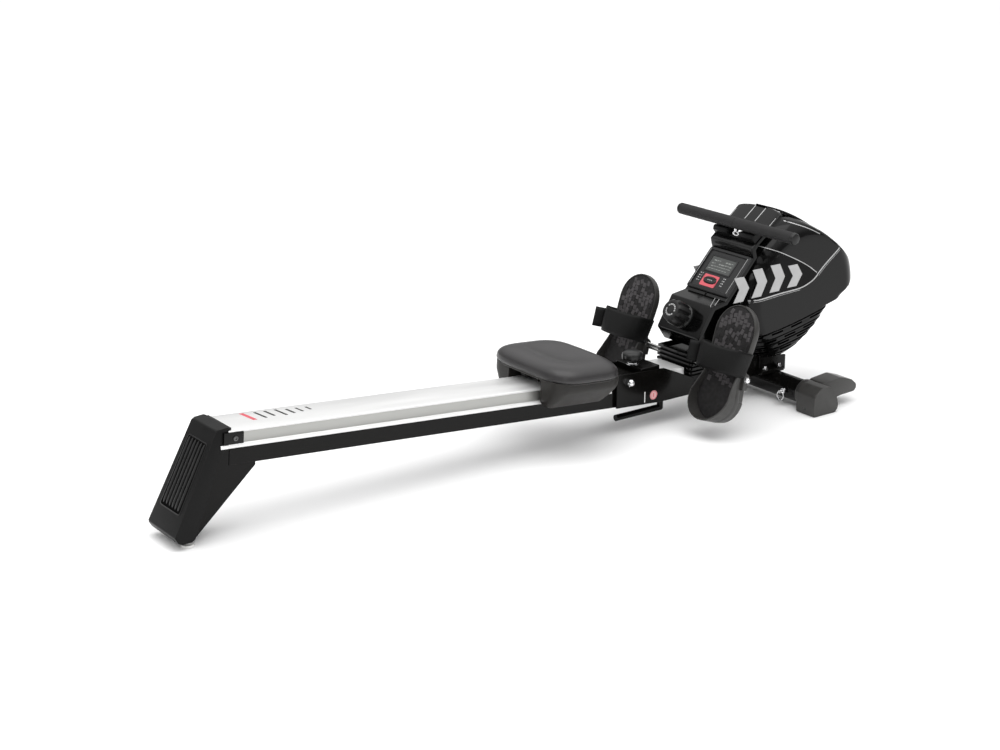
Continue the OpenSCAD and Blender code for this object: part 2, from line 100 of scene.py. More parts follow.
def make_material(name, color, rough, metallic=0.0, specular=0.5, coat=0.0, vary=0.05, blotch=30, grain=900,
                  bump=0.05, stretch=(1, 1, 1), tint=0.12):
    """Principled shader whose colour and roughness drift over the surface and whose grain is a fine bump"""
    mat = bpy.data.materials.new(name)
    mat.use_nodes = True
    tree = mat.node_tree
    shader = put(tree.nodes["Principled BSDF"], Metallic=metallic, Specular_IOR_Level=specular, Coat_Weight=coat,
                 Coat_Roughness=0.08)
    coords = tree.nodes.new("ShaderNodeTexCoord")
    mapping = put(tree.nodes.new("ShaderNodeMapping"), Scale=stretch)
    tree.links.new(coords.outputs["Object"], mapping.inputs["Vector"])
    drift = put(tree.nodes.new("ShaderNodeTexNoise"), Scale=blotch, Detail=4)
    fine = put(tree.nodes.new("ShaderNodeTexNoise"), Scale=grain, Detail=3)
    for noise in (drift, fine):
        tree.links.new(mapping.outputs["Vector"], noise.inputs["Vector"])
    ramp = tree.nodes.new("ShaderNodeValToRGB")
    ramp.color_ramp.elements[0].position = 0.3
    ramp.color_ramp.elements[1].position = 0.7
    for element, factor in zip(ramp.color_ramp.elements, (1 - tint, 1 + tint)):
        element.color = [min(1, c * factor) for c in color] + [1]
    tree.links.new(drift.outputs["Fac"], ramp.inputs["Fac"])
    tree.links.new(ramp.outputs["Color"], shader.inputs["Base Color"])
    spread = put(tree.nodes.new("ShaderNodeMapRange"), From_Min=0.3, From_Max=0.7,
                 To_Min=max(0.02, rough - vary), To_Max=rough + vary)
    tree.links.new(drift.outputs["Fac"], spread.inputs["Value"])
    tree.links.new(spread.outputs["Result"], shader.inputs["Roughness"])
    relief = put(tree.nodes.new("ShaderNodeBump"), Strength=bump, Distance=0.0005)
    tree.links.new(fine.outputs["Fac"], relief.inputs["Height"])
    tree.links.new(relief.outputs["Normal"], shader.inputs["Normal"])
    return mat


LOOKS = {
    "alu_rail": dict(color=(0.84, 0.84, 0.835), rough=0.42, metallic=0.65, grain=700, bump=0.04,
                     stretch=(0.06, 1, 1), tint=0.02),
    "alu_side": dict(color=(0.4, 0.4, 0.385), rough=0.36, metallic=0.85, stretch=(0.05, 1, 1), tint=0.05),
    "black_steel": dict(color=(0.0032, 0.0030, 0.0027), rough=0.2, specular=0.15, coat=0.04, bump=0.03),
    "gloss_black": dict(color=(0.0018, 0.0018, 0.0018), rough=0.14, specular=0.2, coat=0.06, bump=0.015, vary=0.03),
    "black_plastic": dict(color=(0.0042, 0.0042, 0.0042), rough=0.38, specular=0.16, grain=1600, bump=0.16),
    "panel_black": dict(color=(0.0015, 0.0015, 0.0015), rough=0.3, specular=0.1, bump=0.02),
    # light grey of the trim lines and chevrons, also used for a painted highlight along the console's near edge
    "trim_grey": dict(color=(0.46, 0.46, 0.46), rough=0.36, metallic=0.35, bump=0.02, tint=0.06),
    # painted shade: near-black matt that stands in for the shade inside the louvre slots and between the rear cover's
    # ribs
    "painted_shade_black": dict(color=(0.0008, 0.0008, 0.0008), rough=0.8, specular=0.05, bump=0.02),
    # lighter black plastic of the knobs and caps, also used on the rear cover's ribs and rim as a painted highlight
    "knob_plastic": dict(color=(0.013, 0.013, 0.013), rough=0.3, specular=0.3, grain=1500, bump=0.12),
    "monitor_plastic": dict(color=(0.011, 0.011, 0.0115), rough=0.34, specular=0.3, grain=1500, bump=0.1),
    "screen": dict(color=(0.055, 0.058, 0.056), rough=0.22, specular=0.3, coat=0.1, bump=0.01, tint=0.05),
    "screen_ink": dict(color=(0.2, 0.21, 0.2), rough=0.4, bump=0.01),
    # grey print, also used for the painted highlights along the monitor bezel's edges
    "print_grey": dict(color=(0.42, 0.42, 0.42), rough=0.5, bump=0.02),
    "button_red": dict(color=(0.6, 0.085, 0.11), rough=0.42, bump=0.03, tint=0.08),
    "mark_pink": dict(color=(0.72, 0.42, 0.42), rough=0.5, bump=0.02),
    "mark_white": dict(color=(0.75, 0.75, 0.74), rough=0.45, bump=0.02, tint=0.03),
    "chrome": dict(color=(0.82, 0.82, 0.83), rough=0.09, metallic=1.0, bump=0.02, vary=0.04, tint=0.03),
    "bright_steel": dict(color=(0.62, 0.62, 0.61), rough=0.24, metallic=1.0, bump=0.04, tint=0.05),
    "dark_steel": dict(color=(0.12, 0.12, 0.12), rough=0.3, metallic=1.0, bump=0.04),
    "foot_pad": dict(color=(0.75, 0.75, 0.73), rough=0.5, tint=0.04),
    "rubber": dict(color=(0.017, 0.0162, 0.0165), rough=0.6, specular=0.18, grain=1100, bump=0.25, tint=0.35,
                   blotch=110),
    "seat_foam": dict(color=(0.027, 0.0255, 0.0262), rough=0.32, specular=0.42, grain=1300, bump=0.2, blotch=18,
                      tint=0.08),
    "carriage_plastic": dict(color=(0.021, 0.0195, 0.018), rough=0.38, specular=0.22, grain=1500, bump=0.18),
    "grip_foam": dict(color=(0.022, 0.0215, 0.022), rough=0.66, specular=0.2, grain=1400, bump=0.45),
    "patch_rubber": dict(color=(0.052, 0.048, 0.050), rough=0.5, specular=0.3, grain=1100, bump=0.25, tint=0.3,
                         blotch=90),
    "webbing": dict(color=(0.0045, 0.0045, 0.0045), rough=0.5, specular=0.16, grain=2200, bump=0.4),
    "roller_plastic": dict(color=(0.03, 0.03, 0.03), rough=0.4),
    "flywheel_iron": dict(color=(0.3, 0.3, 0.3), rough=0.35, metallic=1.0, bump=0.08),
    "cap_plastic": dict(color=(0.034, 0.033, 0.0315), rough=0.32, specular=0.4, grain=1500, bump=0.1),
}
MATERIALS = {name: make_material(name, **look) for name, look in LOOKS.items()}


# ---- mesh helpers, in millimetres ----
def loft(bm, sections, closed=True, caps=True, material=0):
    """Skin over rows of points that all hold the same number of them"""
    rows = [[bm.verts.new(p) for p in s] for s in sections]
    for a, b in zip(rows, rows[1:]):
        count = len(a)
        for i in range(count if closed else count - 1):
            j = (i + 1) % count
            bm.faces.new((a[i], a[j], b[j], b[i])).material_index = material
    if caps:
        bm.faces.new(list(reversed(rows[0]))).material_index = material
        bm.faces.new(rows[-1]).material_index = material
    return rows


def rounded(points, radius, steps=5):
    """Outline with its corners rounded by one radius, or by one for each corner"""
    out = []
    for i, p in enumerate(points):
        r = radius[i] if isinstance(radius, list) else radius
        p = Vector(p)
        a = Vector(points[i - 1]) - p
        b = Vector(points[(i + 1) % len(points)]) - p
        half = max(a.angle(b) / 2, 0.05)
        cut = min(r / tan(half), a.length * 0.48, b.length * 0.48)
        start, end = p + a.normalized() * cut, p + b.normalized() * cut
        for k in range(steps + 1):
            t = k / steps
            out.append(start * (1 - t) ** 2 + p * 2 * t * (1 - t) + end * t * t)
    return out


def prism(bm, outline, low, high, bevel=0.0, steps=2, axis="y"):
    """Side-view outline (x, z) run across the machine, or a plan outline (x, y) run upwards, with soft rims"""
    place = (lambda p, h: (p[0], h, p[1])) if axis == "y" else (lambda p, h: (p[0], p[1], h))
    rows = loft(bm, [[place(p, h) for p in outline] for h in (low, high)])
    if bevel:
        rims = {e for row in rows for v in row for e in v.link_edges if e.other_vert(v) in row}
        bmesh.ops.bevel(bm, geom=list(rims), offset=bevel, segments=steps, profile=0.5, affect="EDGES",
                        clamp_overlap=True, material=-1)


def block(bm, low, high, bevel=0.0, steps=2, where=None, material=0):
    """Box with every edge softened"""
    size = [b - a for a, b in zip(low, high)]
    middle = [(a + b) / 2 for a, b in zip(low, high)]
    matrix = Matrix.Translation(middle) @ Matrix.Diagonal((*size, 1))
    verts = bmesh.ops.create_cube(bm, size=1, matrix=matrix)["verts"]
    faces = {f for v in verts for f in v.link_faces}
    for f in faces:
        f.material_index = material
    if bevel:
        edges = {e for v in verts for e in v.link_edges}
        made = bmesh.ops.bevel(bm, geom=list(edges), offset=bevel, segments=steps, profile=0.5, affect="EDGES",
                               clamp_overlap=True, material=-1)
        verts = list({v for f in made["faces"] for v in f.verts})
    if where is not None:
        bmesh.ops.transform(bm, matrix=where, verts=verts)


def lathe(bm, profile, where=None, count=40, ripple=None):
    """Profile of (radius, height) turned round the third axis; ripple(angle, row) scales the radius"""
    rows = []
    for k, (r, h) in enumerate(profile):
        row = []
        for i in range(count):
            a = tau * i / count
            scale = ripple(a, k) if ripple else 1
            row.append((max(r, 0.02) * scale * cos(a), max(r, 0.02) * scale * sin(a), h))
        rows.append(row)
    if where is not None:
        rows = [[where @ Vector(p) for p in row] for row in rows]
    loft(bm, rows)


def heading(path, i):
    """Direction of a path at one of its points"""
    return (path[min(i + 1, len(path) - 1)] - path[max(i - 1, 0)]).normalized()


def tube(bm, path, radius, count=14):
    """Round bar along a path of points"""
    path = [Vector(p) for p in path]
    rows, side = [], None
    for i, p in enumerate(path):
        ahead = heading(path, i)
        if side is None:
            side = ahead.orthogonal().normalized()
        side = (side - ahead * side.dot(ahead)).normalized()
        up = ahead.cross(side)
        r = radius[i] if isinstance(radius, list) else radius
        rows.append([p + side * cos(tau * k / count) * r + up * sin(tau * k / count) * r
                     for k in range(count)])
    loft(bm, rows)


def curve(points, steps=6):
    """Smooth run through the points"""
    points = [Vector(p) for p in points]
    out = []
    for i in range(len(points) - 1):
        a, b, c, d = points[max(i - 1, 0)], points[i], points[i + 1], points[min(i + 2, len(points) - 1)]
        for k in range(steps):
            t = k / steps
            out.append(0.5 * (2 * b + (c - a) * t + (2 * a - 5 * b + 4 * c - d) * t * t
                              + (3 * b - a - 3 * c + d) * t ** 3))
    return out + [points[-1]]


def mirrored(a, b, side):
    """Two distances from the machine's middle, on one side of it, the lower first"""
    return sorted((side * a, side * b))


def piece(name, bm, where, body, materials, replaces=(), smooth=36.0, weld=0.002, turn=True):
    """Turns a finished mesh into an object that rides on a CAD body"""
    if weld:
        bmesh.ops.remove_doubles(bm, verts=bm.verts, dist=weld)
    bm.transform(where)
    if turn:
        bmesh.ops.recalc_face_normals(bm, faces=bm.faces)
    limit = radians(smooth)
    for f in bm.faces:
        f.smooth = True
    for e in bm.edges:
        e.smooth = len(e.link_faces) != 2 or e.calc_face_angle(0) < limit
    mesh = bpy.data.meshes.new(name)
    bm.to_mesh(mesh)
    bm.free()
    obj = bpy.data.objects.new(name, mesh)
    bpy.context.collection.objects.link(obj)
    names = [materials] if isinstance(materials, str) else materials
    for m in names:
        mesh.materials.append(MATERIALS[m])
    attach(obj, body)
    if replaces:
        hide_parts(*replaces)
    return obj


def carve(obj, cutter, where):
    """Cuts the closed cutter mesh out of the object"""
    cutter.transform(where)
    bmesh.ops.recalc_face_normals(cutter, faces=cutter.faces)
    mesh = bpy.data.meshes.new("cutter")
    cutter.to_mesh(mesh)
    cutter.free()
    tool = bpy.data.objects.new("cutter", mesh)
    bpy.context.collection.objects.link(tool)
    mod = obj.modifiers.new("carve", "BOOLEAN")
    mod.operation = "DIFFERENCE"
    mod.solver = "EXACT"
    mod.object = tool
    bpy.context.view_layer.update()
    done = bpy.data.meshes.new_from_object(obj.evaluated_get(bpy.context.evaluated_depsgraph_get()))
    obj.modifiers.clear()
    old = obj.data
    obj.data = done
    bpy.data.meshes.remove(old)
    bpy.data.objects.remove(tool)
    limit = radians(36)
    bm = bmesh.new()
    bm.from_mesh(done)
    for f in bm.faces:
        f.smooth = True
    for e in bm.edges:
        e.smooth = len(e.link_faces) != 2 or e.calc_face_angle(0) < limit
    bm.to_mesh(done)
    bm.free()


def thicken(obj, thickness, offset=-1.0):
    mod = obj.modifiers.new("thickness", "SOLIDIFY")
    mod.thickness = thickness * MM
    mod.offset = offset


# ---- housing: each round edge of its outline is a circle and the depth over which the side curves in ----
CROWN = (1467, -151, 670, 14)
NOSE = (1745, 262, 205, 56)
BELLY = (1651, 376, 286, 30)
CHIN = (1607, 388, 301, 30)
TOWER_TOP = 1655
LIP = [(1390, 173), (1500, 176), (1599, 183), (1666, 191), (1715, 199), (1762, 208.5), (1809, 219), (1857, 230),
       (1890, 240), (1912, 252), (1930, 270), (1951, 298)]
SHELL_FRONT = [(1396, 215), (1436, 279), (1470, 285), (1480, 293), (1560, 380), (1560.5, 409), (TOWER_TOP, 483)]
ROWS = [8, 26, 40, 54.5, 70, 86]
SLOT_STARTS = [1640, 1619, 1597, 1604, 1585]
SLOT_PITCH, SLOT_LONG = 66, 36


def line_at(points, x):
    """Height at x of the straight lines through points"""
    for (xa, za), (xb, zb) in zip(points, points[1:]):
        if x <= xb:
            return za + (zb - za) * (x - xa) / (xb - xa)
    return points[-1][1]


def depth_in(circle, x, z):
    return circle[2] - hypot(x - circle[0], z - circle[1])


def belly_depth(x, z):
    return min(depth_in(BELLY, x, z), depth_in(CHIN, x, z))


def arc_height(circle, x, sign):
    return circle[1] + sign * sqrt(max(0, circle[2] ** 2 - (x - circle[0]) ** 2))


def half_width(x, z, upper=True):
    """Half the width of the housing at a place in its side view"""
    total = 0
    for circle in (CROWN, NOSE):
        total += max(0, 1 - depth_in(circle, x, z) / circle[3]) ** 2
    if not upper:
        total += max(0, 1 - belly_depth(x, z) / BELLY[3]) ** 2
    if upper:
        under = min(1, max(0, (x - 1860) / 45))
        total += (under * max(0, 1 - (z - line_at(LIP, x)) / 12)) ** 2
    return HALF * sqrt(max(0, 1 - total))


def shell_top(x):
    if x < TOWER_TOP:
        return line_at(SHELL_FRONT, x)
    return min(arc_height(CROWN, x, 1), arc_height(NOSE, x, 1))


def shell_bottom(x):
    if x < 1452:
        return line_at([(1396, 193), (1407, 175), (1452, 171)], x)
    return min(max(arc_height(BELLY, x, -1), arc_height(CHIN, x, -1)), line_at(LIP, x))


def shell_section(x):
    """Points from the top edge to the bottom edge, each with its louvre row if it lies in a slot"""
    top, low = shell_top(x), shell_bottom(x)
    lip = max(low + 0.2, line_at(LIP, x))
    lip = min(lip, top - 1)
    points = []
    for k in range(34):
        z = top + (lip - top) * (1 - cos(pi * k / 33)) / 2
        points.append((x, half_width(x, z), z, False))
    drops = [(0.5, 4, False)]
    for k, (a, b) in enumerate(zip(ROWS, ROWS[1:])):
        slotted = (x - SLOT_STARTS[k]) % SLOT_PITCH < SLOT_LONG and 1530 < x < 1850
        floor = 8 if slotted else 1.9
        drops += [(a - 0.8, 4, False), (a + 0.6, 0.6, False), (a + 2.6, 1.0, False), (a + 3, floor, slotted),
                  (a + 8, floor, slotted), (a + 8.4, 1.8, False), (b - 1.4, 3, False)]
    rest = max(0, lip - low - ROWS[-1])
    drops += [(ROWS[-1] + 0.6, 0.6, False)] + [(ROWS[-1] + rest * t, 0.6, False) for t in (0.3, 0.6, 0.8, 0.93, 1)]
    for drop, depth, slotted in drops:
        z = max(low, lip - drop)
        edge = belly_depth(x, z)
        fade = min(1, max(0, (edge - 11) / 5)) * min(1, max(0, (1880 - x) / 20))
        y = half_width(x, z, upper=False) - depth * fade
        points.append((x, y, z, slotted and fade > 0.9))
    return points


def build_shell(side):
    xs = [1396 + 6 * k for k in range(18)] + [1502 + 2 * k for k in range(77)] + [TOWER_TOP + 0.4]
    xs += [1657 + 2 * k for k in range(96)] + [1850 + 5 * k for k in range(18)] + [1940 + 1.3 * k for k in range(8)]
    bm = bmesh.new()
    rows, slots = [], []
    for x in xs:
        section = shell_section(x)
        rows.append([bm.verts.new((px, side * max(0.15, y), z)) for px, y, z, _ in section])
        slots.append([s for *_, s in section])
    for i in range(len(rows) - 1):
        for j in range(len(rows[0]) - 1):
            corners = (rows[i][j], rows[i][j + 1], rows[i + 1][j + 1], rows[i + 1][j])
            face = bm.faces.new(corners if side < 0 else corners[::-1])
            # faces at the bottom of a louvre slot get the second material, a near-black matt that paints the shade
            # inside the slot
            if all((slots[i][j], slots[i][j + 1], slots[i + 1][j], slots[i + 1][j + 1])):
                face.material_index = 1
    name = "housing_" + NAMES[side]
    shell = piece(name + "_shell", bm, WORLD, "frame", ["gloss_black", "painted_shade_black"], [name], smooth=28,
                  turn=False)
    thicken(shell, 2.4)
    return shell


def strip(bm, path, width, side):
    """Thin band laid on the housing's side along a path (x, z)"""
    path = [Vector(p) for p in path]
    rows = []
    for i, p in enumerate(path):
        ahead = heading(path, i)
        out = Vector((-ahead.y, ahead.x)) * width / 2
        row = []
        for q, rise in ((p - out, -0.6), (p - out, 0.5), (p + out, 0.5), (p + out, -0.6)):
            row.append((q.x, side * (half_width(q.x, q.y) + rise), q.y))
        rows.append(row)
    loft(bm, rows)


PANEL_TOP = [(1470, 291), (1502, 325), (1558, 381), (1566, 414), (1606, 403), (1652, 386), (1712, 358), (1754, 335),
             (1783, 314)]
PANEL_LOW = [(1470, 278), (1515, 272), (1590, 276), (1662, 281), (1728, 284), (1767, 295), (1783, 309)]


def build_graphics(side):
    """Matt panel with plain chevrons, the trim lines round it, and a light band along the console's near edge that is
    a painted highlight
    """
    bm = bmesh.new()
    rows = []
    for k in range(64):
        x = 1470 + 313 * k / 63
        low, high = line_at(PANEL_LOW, x), line_at(PANEL_TOP, x)
        outer = [(x, side * (half_width(x, low + (high - low) * t / 6) + 0.25), low + (high - low) * t / 6)
                 for t in range(7)]
        inner = [(px, y - side * 0.8, z) for px, y, z in reversed(outer)]
        rows.append(outer + inner)
    loft(bm, rows)
    piece(f"housing_panel_{NAMES[side]}", bm, WORLD, "frame", "panel_black")
    bm = bmesh.new()
    for k in range(4):
        x = 1498 + 61 * k
        low = line_at(PANEL_LOW, x + 22) + 8
        high = (344, 356, 358, 348)[k]
        middle = (low + high) / 2
        outline = [(x, low), (x + 33, low), (x + 52, middle), (x + 33, high), (x, high), (x + 19, middle)]
        prism(bm, outline, *mirrored(HALF - 0.5, HALF + 0.6, side), bevel=0.25, steps=1)
    piece(f"housing_chevrons_{NAMES[side]}", bm, WORLD, "frame", "trim_grey")
    bm = bmesh.new()
    low_line = [(1788, 308), (1767, 294), (1728, 283), (1662, 280), (1590, 275), (1515, 271), (1468, 277),
                (1442, 283)]
    strip(bm, curve(low_line), 3.2, side)
    strip(bm, curve([(1507, 268.5), (1471, 270), (1434, 272)], 4), 1.2, side)
    strip(bm, curve([(x, z - 5) for x, z in low_line[2:7]]), 0.9, side)
    strip(bm, curve([(1566, 416), (1606, 404.5), (1652, 387.5), (1712, 359.5), (1754, 336.5), (1785, 315)]), 2, side)
    strip(bm, curve([(1787, 309), (1810, 329), (1836, 348), (1864, 368)], 4), 3.4, side)
    strip(bm, curve([(1792, 306), (1815, 326), (1841, 345), (1868, 364)], 4), 0.9, side)
    # light band along the console's near edge under the monitor: a painted highlight of that edge, not a trim line
    strip(bm, [(1573, 391), (1538, 354), (1502, 318), (1470, 286)], 3.2, side)
    strip(bm, curve([(1574, 418), (1592, 434), (1622, 457), (1640, 470), (1652, 471), (1722, 446), (1758, 431),
                     (1790, 415)]), 2.2, side)
    piece(f"housing_trim_and_highlight_{NAMES[side]}", bm, WORLD, "frame", "trim_grey")


def build_spine():
    """Raised band along the middle of the crown"""
    bm = bmesh.new()
    rows = []
    for k in range(40):
        x = 1652 + 215 * k / 39
        top = arc_height(CROWN, x, 1)
        t = k / 39
        half = 17 - 9 * t
        rise = 2.6 * min(1, (1 - t) * 6)
        profile = [(-half - 2, -3), (-half - 1.5, -0.2), (-half, rise), (half, rise), (half + 1.5, -0.2),
                   (half + 2, -3)]
        rows.append([(x, y, top + h) for y, h in profile])
    loft(bm, rows)
    piece("crown_spine", bm, WORLD, "frame", "gloss_black")


# ---- console ----
def tower_tip(y):
    """Where the tower's face meets the crown, at a distance y from the middle"""
    drop = CROWN[3] * (1 - sqrt(max(0, 1 - min(1, abs(y) / HALF) ** 2)))
    low, high = 40.0, 150.0
    lean = radians(38)
    for _ in range(30):
        u = (low + high) / 2
        x, z = 1556 + u * cos(lean), 414 + u * sin(lean)
        if depth_in(CROWN, x, z) > drop:
            low = u
        else:
            high = u
    return x, z


def build_console():
    bm = bmesh.new()
    rows = []
    half = [(75.5, 2.6), (75.2, 1.3), (74, 0.4), (71.5, 0), (60, 0), (40, 0), (20, 0)]
    for y, inset in [(-y, inset) for y, inset in half] + [(0, 0)] + half[::-1]:
        tip = tower_tip(y)
        front = [(1409, 172), (1383, 209), (1428, 284), (1472, 290), (1479, 297), (1560, 386), (1556, 398),
                 (1553, 411), (1557, 414.5), tip]
        front = [(x + 0.7 * inset, z - 0.7 * inset) for x, z in front]
        back = [(tip[0] + 10, tip[1] - 2.9 - inset), (tip[0] + 6, tip[1] - 12), (1578, 419), (1567, 405), (1572, 386),
                (1488, 292), (1478, 281), (1438, 273), (1397, 209), (1420, 176)]
        points = front + back
        radii = [4, 6, 5, 3, 2, 3, 2, 2, 2.5, 2] + [1] * 10
        rows.append([(p.x, y, p.y) for p in rounded(points, radii, 3)])
    loft(bm, rows)
    case = piece("console_shell", bm, WORLD, "frame", "gloss_black", ["console_case"], smooth=32)
    cut = bmesh.new()
    block(cut, (-44, -19.5, -9), (60, 19.5, 6.2))
    carve(case, cut, spot(1574, 434, -10))
    # thin light lines on the box under the monitor and on the tower's face
    bm = bmesh.new()
    for path in (((1486, -28), (1429, -68), (1424, -75)), ((1480, -47), (1438, -74))):
        ends = [(x, y, 284.4 + (x - 1428) * 0.1364) for x, y in path]
        loft(bm, [[(x, y - 0.9, z - 1), (x, y - 0.9, z + 0.4), (x, y + 0.9, z + 0.4), (x, y + 0.9, z - 1)]
                  for x, y, z in ends])
    piece("console_lines", bm, WORLD, "frame", "trim_grey")
    bm = bmesh.new()
    for y in (20, -17):
        block(bm, (76, y - 1.3, -0.8), (124, y + 1.3, 0.45), 0.2, 1)
    for y in (-71, 71):
        block(bm, (16, y - 0.8, -0.8), (100, y + 0.8, 0.45), 0.2, 1)
    piece("tower_lines", bm, REST, "frame", "trim_grey")
    # collar round the strap's slot
    bm = bmesh.new()
    outline = rounded([(14, -27), (52, -27), (52, 27), (14, 27)], 8)
    hole = rounded([(19, -21.5), (47, -21.5), (47, 21.5), (19, 21.5)], 5)
    rows = [[(*p, h) for p in line] for line, h in ((outline, -1), (outline, 2.2), (rounded(
        [(15.5, -25.5), (50.5, -25.5), (50.5, 25.5), (15.5, 25.5)], 7), 3.4), (hole, 3.4), (hole, -1))]
    loft(bm, rows, caps=False)
    piece("strap_collar", bm, REST, "frame", "black_plastic")


def build_monitor():
    bm = bmesh.new()
    rows = []
    for inset, h in ((0, -6.5), (0, 2.4), (1.6, 4.2), (8, 5.2), (9, 3.2), (9.2, 1.6)):
        outline = rounded([(-1 + inset, -74 + inset), (120 - inset, -74 + inset), (120 - inset, 74 - inset),
                           (-1 + inset, 74 - inset)], 6)
        rows.append([(*p, h) for p in outline])
    loft(bm, rows)
    case = piece("monitor_bezel", bm, CONSOLE, "frame", "monitor_plastic", ["monitor_case"], smooth=32)
    cut = bmesh.new()
    prism(cut, capsule(10.3, 22.5, 32, (30, 10)), -12, 12, axis="z")
    carve(case, cut, CONSOLE)
    # display window with its frame
    bm = bmesh.new()
    loft(bm, [[(54 - g, -38 - g, h), (97 + g, -38 - g, h), (97 + g, 48 + g, h), (54 - g, 48 + g, h)]
              for g, h in ((3, 1), (3, 2.6), (2, 3.2), (0, 3.2), (-0.5, 2.2))])
    piece("monitor_window", bm, CONSOLE, "frame", "monitor_plastic")
    bm = bmesh.new()
    block(bm, (54.8, -37.2, 0.8), (96.2, 47.2, 2.6), 0.3, 1)
    piece("monitor_display", bm, CONSOLE, "frame", "screen", ["monitor_screen"])
    bm = bmesh.new()
    # plain bars of the display, none of them a figure
    shuffle = random.Random(7)
    for u in (62, 70, 78, 87):
        y = -31
        while y < 38:
            long = shuffle.choice((3.5, 6, 9))
            if shuffle.random() < 0.78:
                block(bm, (u - shuffle.choice((0.7, 2.2)), y, 2.4), (u + 1, y + long, 2.85))
            y += long + 2.2
    piece("display_bars", bm, CONSOLE, "frame", "screen_ink")
    bm = bmesh.new()
    for y0 in (-30, 50):
        for u in (22, 29, 36, 43):
            for k, long in enumerate((2.2, 4)):
                y = y0 - 6 * k if y0 < 0 else y0 + 6 * k - 4
                block(bm, (u, y, 1), (u + 2.6, y + long, 1.9), 0.2, 1)
    # light lines along the bezel's inner side edges: a painted highlight of those edges
    for y in (-66.5, 66.5):
        block(bm, (8, y - 0.5, 4.2), (112, y + 0.5, 5.6), 0.2, 1)
    piece("monitor_marks_and_highlights", bm, CONSOLE, "frame", "print_grey")
    bm = bmesh.new()
    plate = rounded([(12, -15), (45, -15), (45, 38), (12, 38)], 4)
    ring = capsule(10.4, 22.6, len(plate), (30, 10))
    loft(bm, [[(*p, h) for p in line] for line, h in ((plate, 1.2), (plate, 2.4), (ring, 2.4), (ring, 1.2))],
         caps=False)
    piece("button_surround", bm, CONSOLE, "frame", "button_red")
    bm = bmesh.new()
    loft(bm, [[(*p, h) for p in capsule(9.4 - shrink, 21.6 - shrink, 32, (30, 10))]
              for shrink, h in ((0, -2), (0, 3.2), (0.8, 4.2), (3, 4.8), (4, 4.0), (6, 3.8))])
    for y in (4, 10, 16):
        block(bm, (29, y - 2, 3.6), (31, y + 2, 4.3), 0.2, 1, material=1)
    piece("button_cap", bm, CONSOLE, "monitor_button", ["knob_plastic", "print_grey"], ["monitor_button"])


def capsule(half_u, half_y, count, middle):
    """Oval outline of count points round a middle"""
    out = []
    for k in range(count):
        a = tau * (k + 0.5) / count - pi * 0.75
        c, s = cos(a), sin(a)
        power = 2 / 2.6
        out.append(Vector((middle[0] + half_u * copysign(abs(c) ** power, c),
                           middle[1] + half_y * copysign(abs(s) ** power, s))))
    return out


def build_knob():
    bm = bmesh.new()

    def flutes(a, row):
        return 1 - (0.17 * max(0, cos(a * 9)) ** 0.8 if 4 <= row <= 8 else 0)

    lathe(bm, [(7, -13), (30.2, 0.8), (31, 6), (29, 8.4), (30, 11), (31.4, 18), (31, 38), (29.4, 46), (27.4, 49.6),
               (25.4, 52.4), (22.6, 53.4), (18.6, 53.2), (17.8, 52), (9.2, 52), (8.4, 53.2), (0, 53.4)],
          count=144, ripple=flutes)
    for k in range(16):
        if k % 8 == 3:
            continue
        turn = Matrix.Rotation(tau * k / 16, 4, "Z")
        block(bm, (12.2, -1.9, 51.7), (16, 1.9, 52.9), 0.2, 1, where=turn, material=1)
    piece("tension_dial", bm, KNOB_FACE @ Matrix.Translation((-2, 0, 0)), "tension_knob",
          ["knob_plastic", "print_grey"], ["tension_knob"], smooth=30)
    # raised seat of the knob on the box's face
    bm = bmesh.new()
    outline = rounded([(-40, -38), (38, -38), (38, 38), (-40, 38)], 16)
    smaller = rounded([(-37, -35), (35, -35), (35, 35), (-37, 35)], 14)
    loft(bm, [[(*p, -2) for p in outline], [(*p, 0.3) for p in outline], [(*p, 0.5) for p in smaller]])
    piece("knob_seat", bm, KNOB_FACE, "frame", "gloss_black")


def build_handle():
    bar = centre("handle_bar")
    where = Matrix.Translation(bar) @ Matrix.Scale(MM, 4) @ TO_Y
    for side in (1, -1):
        bm = bmesh.new()
        profile = [(11.2, 0.4), (14.4, 0.4)]
        profile += [(14.5 - 0.12 * sin(k * 1.9), 6 + 190 * k / 24) for k in range(25)]
        profile += [(14.3, 199.5), (13.6, 200.8), (11.2, 200.8)]
        lathe(bm, profile, count=48, where=Matrix.Diagonal((1, 1, side, 1)))
        piece(f"grip_{NAMES[side]}", bm, where, "handle", "grip_foam", ["handle_grip"])
        bm = bmesh.new()
        profile = [(11, 200.9), (14.4, 200.9), (14.5, 203), (14.2, 206), (12.6, 208.7), (9, 210), (0, 210.3)]
        lathe(bm, profile, count=48, where=Matrix.Diagonal((1, 1, side, 1)))
        piece(f"grip_cap_{NAMES[side]}", bm, where, "handle", "knob_plastic")
    bm = bmesh.new()
    # eye under the bar: a neck and a loop that carries the strap
    tube(bm, [(0, 0, -13.6), (0, 0, -20), (0.5, 0, -23)], [5.5, 5, 4.2])
    ring = [(0.5, 9.5 * cos(tau * k / 32), -26.5 + 4.6 * sin(tau * k / 32)) for k in range(33)]
    tube(bm, ring, 2.2, 12)
    piece("strap_eye", bm, Matrix.Translation(bar) @ Matrix.Scale(MM, 4), "handle", "chrome", ["handle_eye"])


def build_rests():
    bm = bmesh.new()
    for side in (1, -1):
        rows = []
        for y, inset in ((22, 3), (23.5, 0.8), (26, 0), (68, 0), (71.5, 0.8), (73, 3)):
            outline = [(12 + inset, 0.2), (62 - inset, 0.2), (62 - inset, 16 - inset), (57 - inset, 21 - inset)]
            outline += [(38.3 + (15.4 + inset * 0.3) * cos(radians(a)),
                         27.9 + (15.4 + inset * 0.3) * sin(radians(a))) for a in range(-35, -150, -10)]
            outline += [(19 + inset, 21 - inset), (12 + inset, 15 - inset)]
            rows.append([(u, side * y, w) for u, w in outline])
        loft(bm, rows)
    piece("handle_cradles", bm, REST, "frame", "black_plastic", ["handle_rest"])


